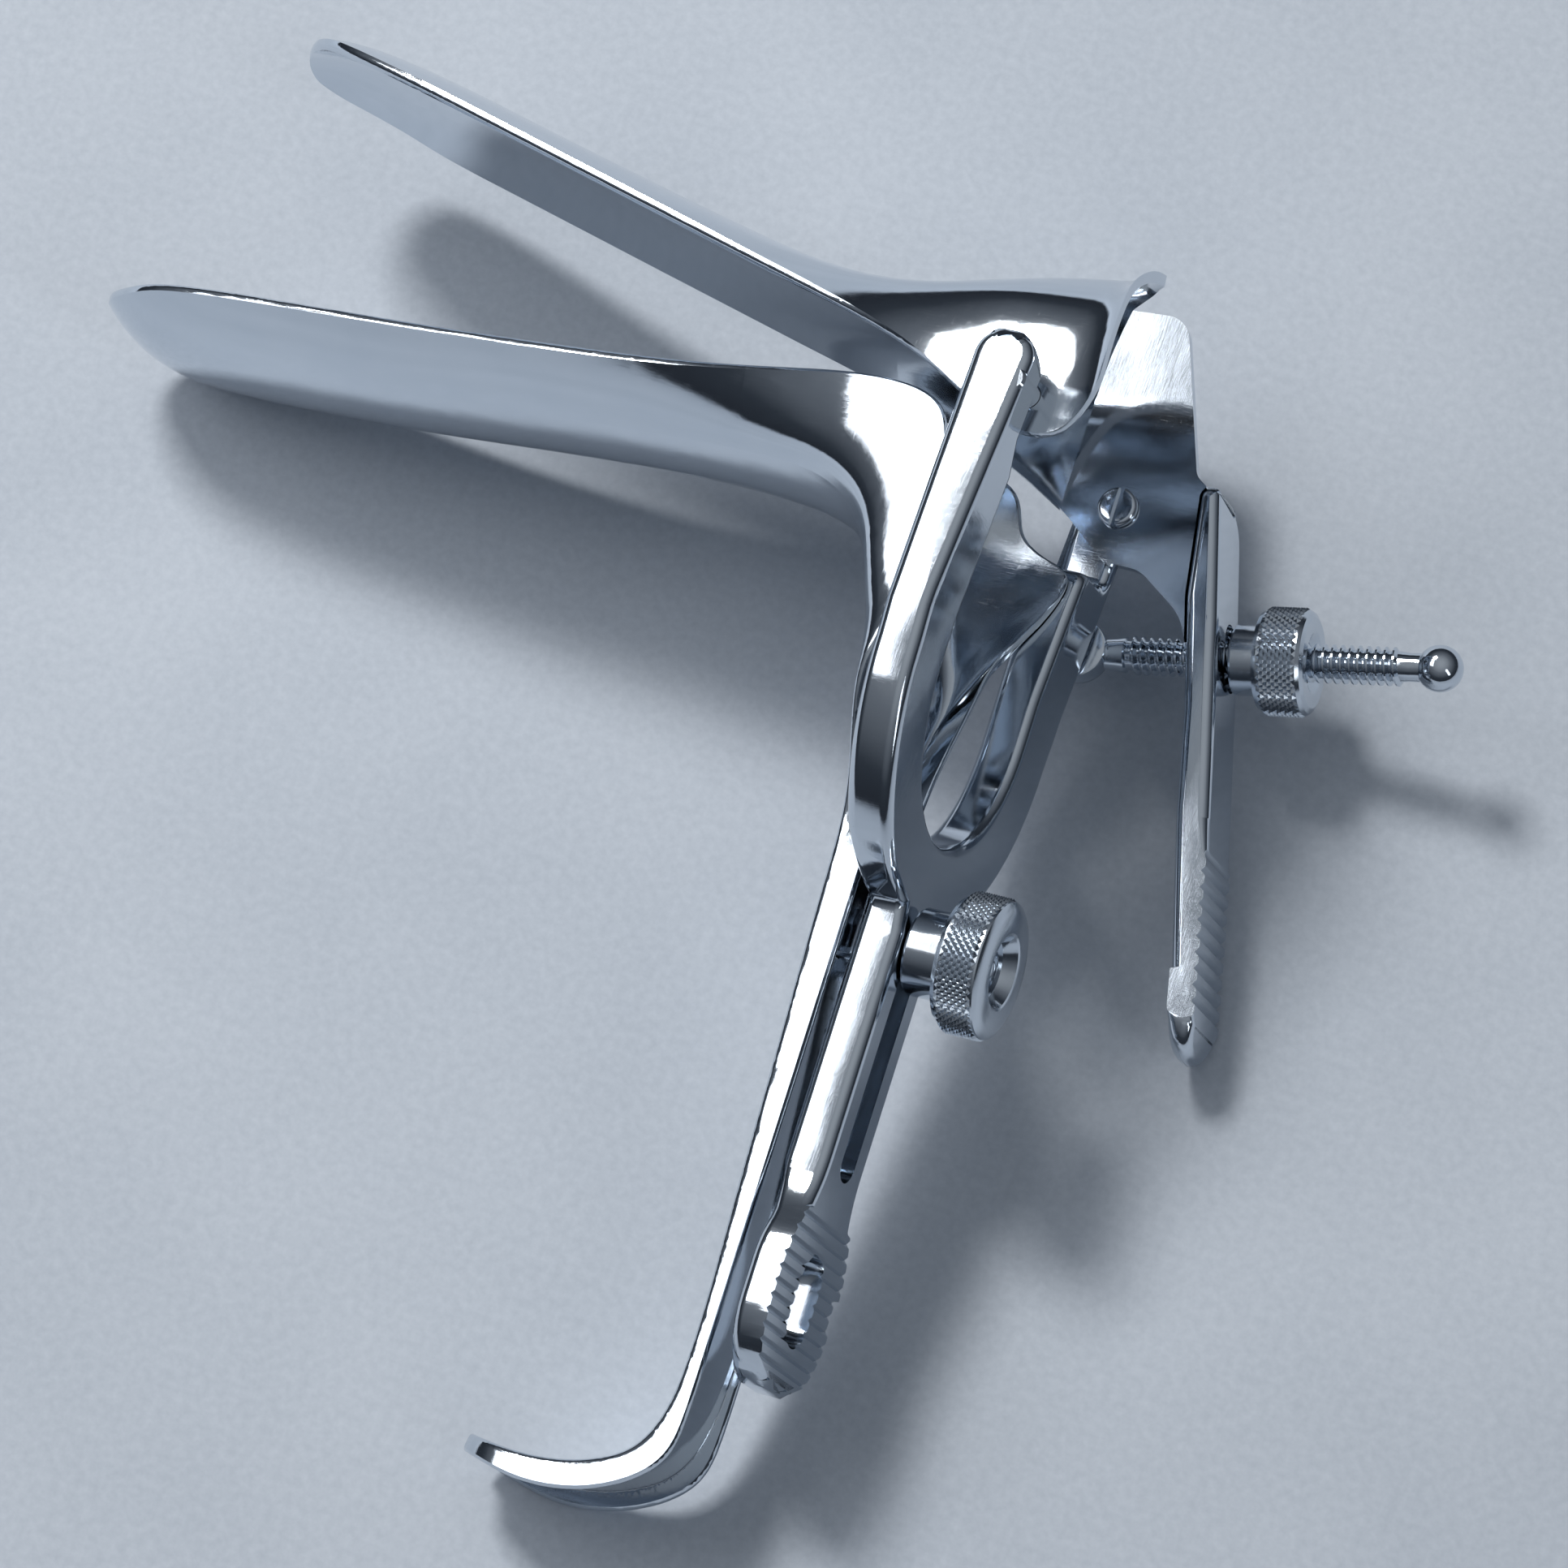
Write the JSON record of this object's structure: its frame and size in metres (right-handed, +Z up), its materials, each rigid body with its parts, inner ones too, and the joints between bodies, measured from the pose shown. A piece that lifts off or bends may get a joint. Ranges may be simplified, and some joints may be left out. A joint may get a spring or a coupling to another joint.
{
  "type": "bivalve speculum",
  "caption": "Bivalve speculum of polished steel with hinged blades, sliding yoke, thumb lever and two knurled nuts.",
  "frame": {"origin": "centre of the instrument's footprint on the surface it lies on", "axes": "+Z up from that surface, +X along the blades towards their tips, +Y towards the hook end of the handle"},
  "size_m": [0.16, 0.1515, 0.0597],
  "materials": {
    "polished_steel": "polished",
    "knurled_steel": "polished"
  },
  "bodies": {
    "handle": {"posterior_blade": "polished_steel", "clamp_stud": "polished_steel"},
    "clamp": {"clamp_nut": "knurled_steel"},
    "yoke": {"yoke_frame": "polished_steel", "far_pivot_screw": "polished_steel", "near_pivot_screw": "polished_steel", "spindle_screw": "polished_steel"},
    "upper": {"anterior_blade": "polished_steel", "thumb_lever": "polished_steel"},
    "spindle": {"spindle": "polished_steel"},
    "stop": {"lever_nut": "knurled_steel"}
  },
  "joints": [
    {"name": "yoke_slide", "type": "slide", "parent": "handle", "child": "yoke", "axis": [0.0433, -0.9779, 0.2046], "range_m": [0, 0.012]},
    {"name": "clamp_turn", "type": "hinge", "parent": "handle", "child": "clamp", "pos_m": [-0.04078, 0.00884, 0.02621], "axis": [-0.9783, 0, 0.207], "continuous": true},
    {"name": "blade_hinge", "type": "hinge", "parent": "yoke", "child": "upper", "pos_m": [-0.03286, -0.04836, 0.03704], "axis": [-0.2024, -0.2092, -0.9567], "range_deg": [-18, 24]},
    {"name": "spindle_swing", "type": "hinge", "parent": "yoke", "child": "spindle", "pos_m": [-0.03774, -0.03892, 0.00674], "axis": [-0.2024, -0.2092, -0.9567], "range_deg": [-13.41, 17.88]},
    {"name": "nut_travel", "type": "slide", "parent": "spindle", "child": "stop", "axis": [-0.9548, -0.1748, 0.2402], "range_m": [-0.00633, 0.00474]}
  ],
  "couplings": [
    {"joint": "spindle_swing", "follows": "blade_hinge", "ratio": 0.745},
    {"joint": "nut_travel", "follows": "blade_hinge", "m_per_rad": -0.0151}
  ]
}
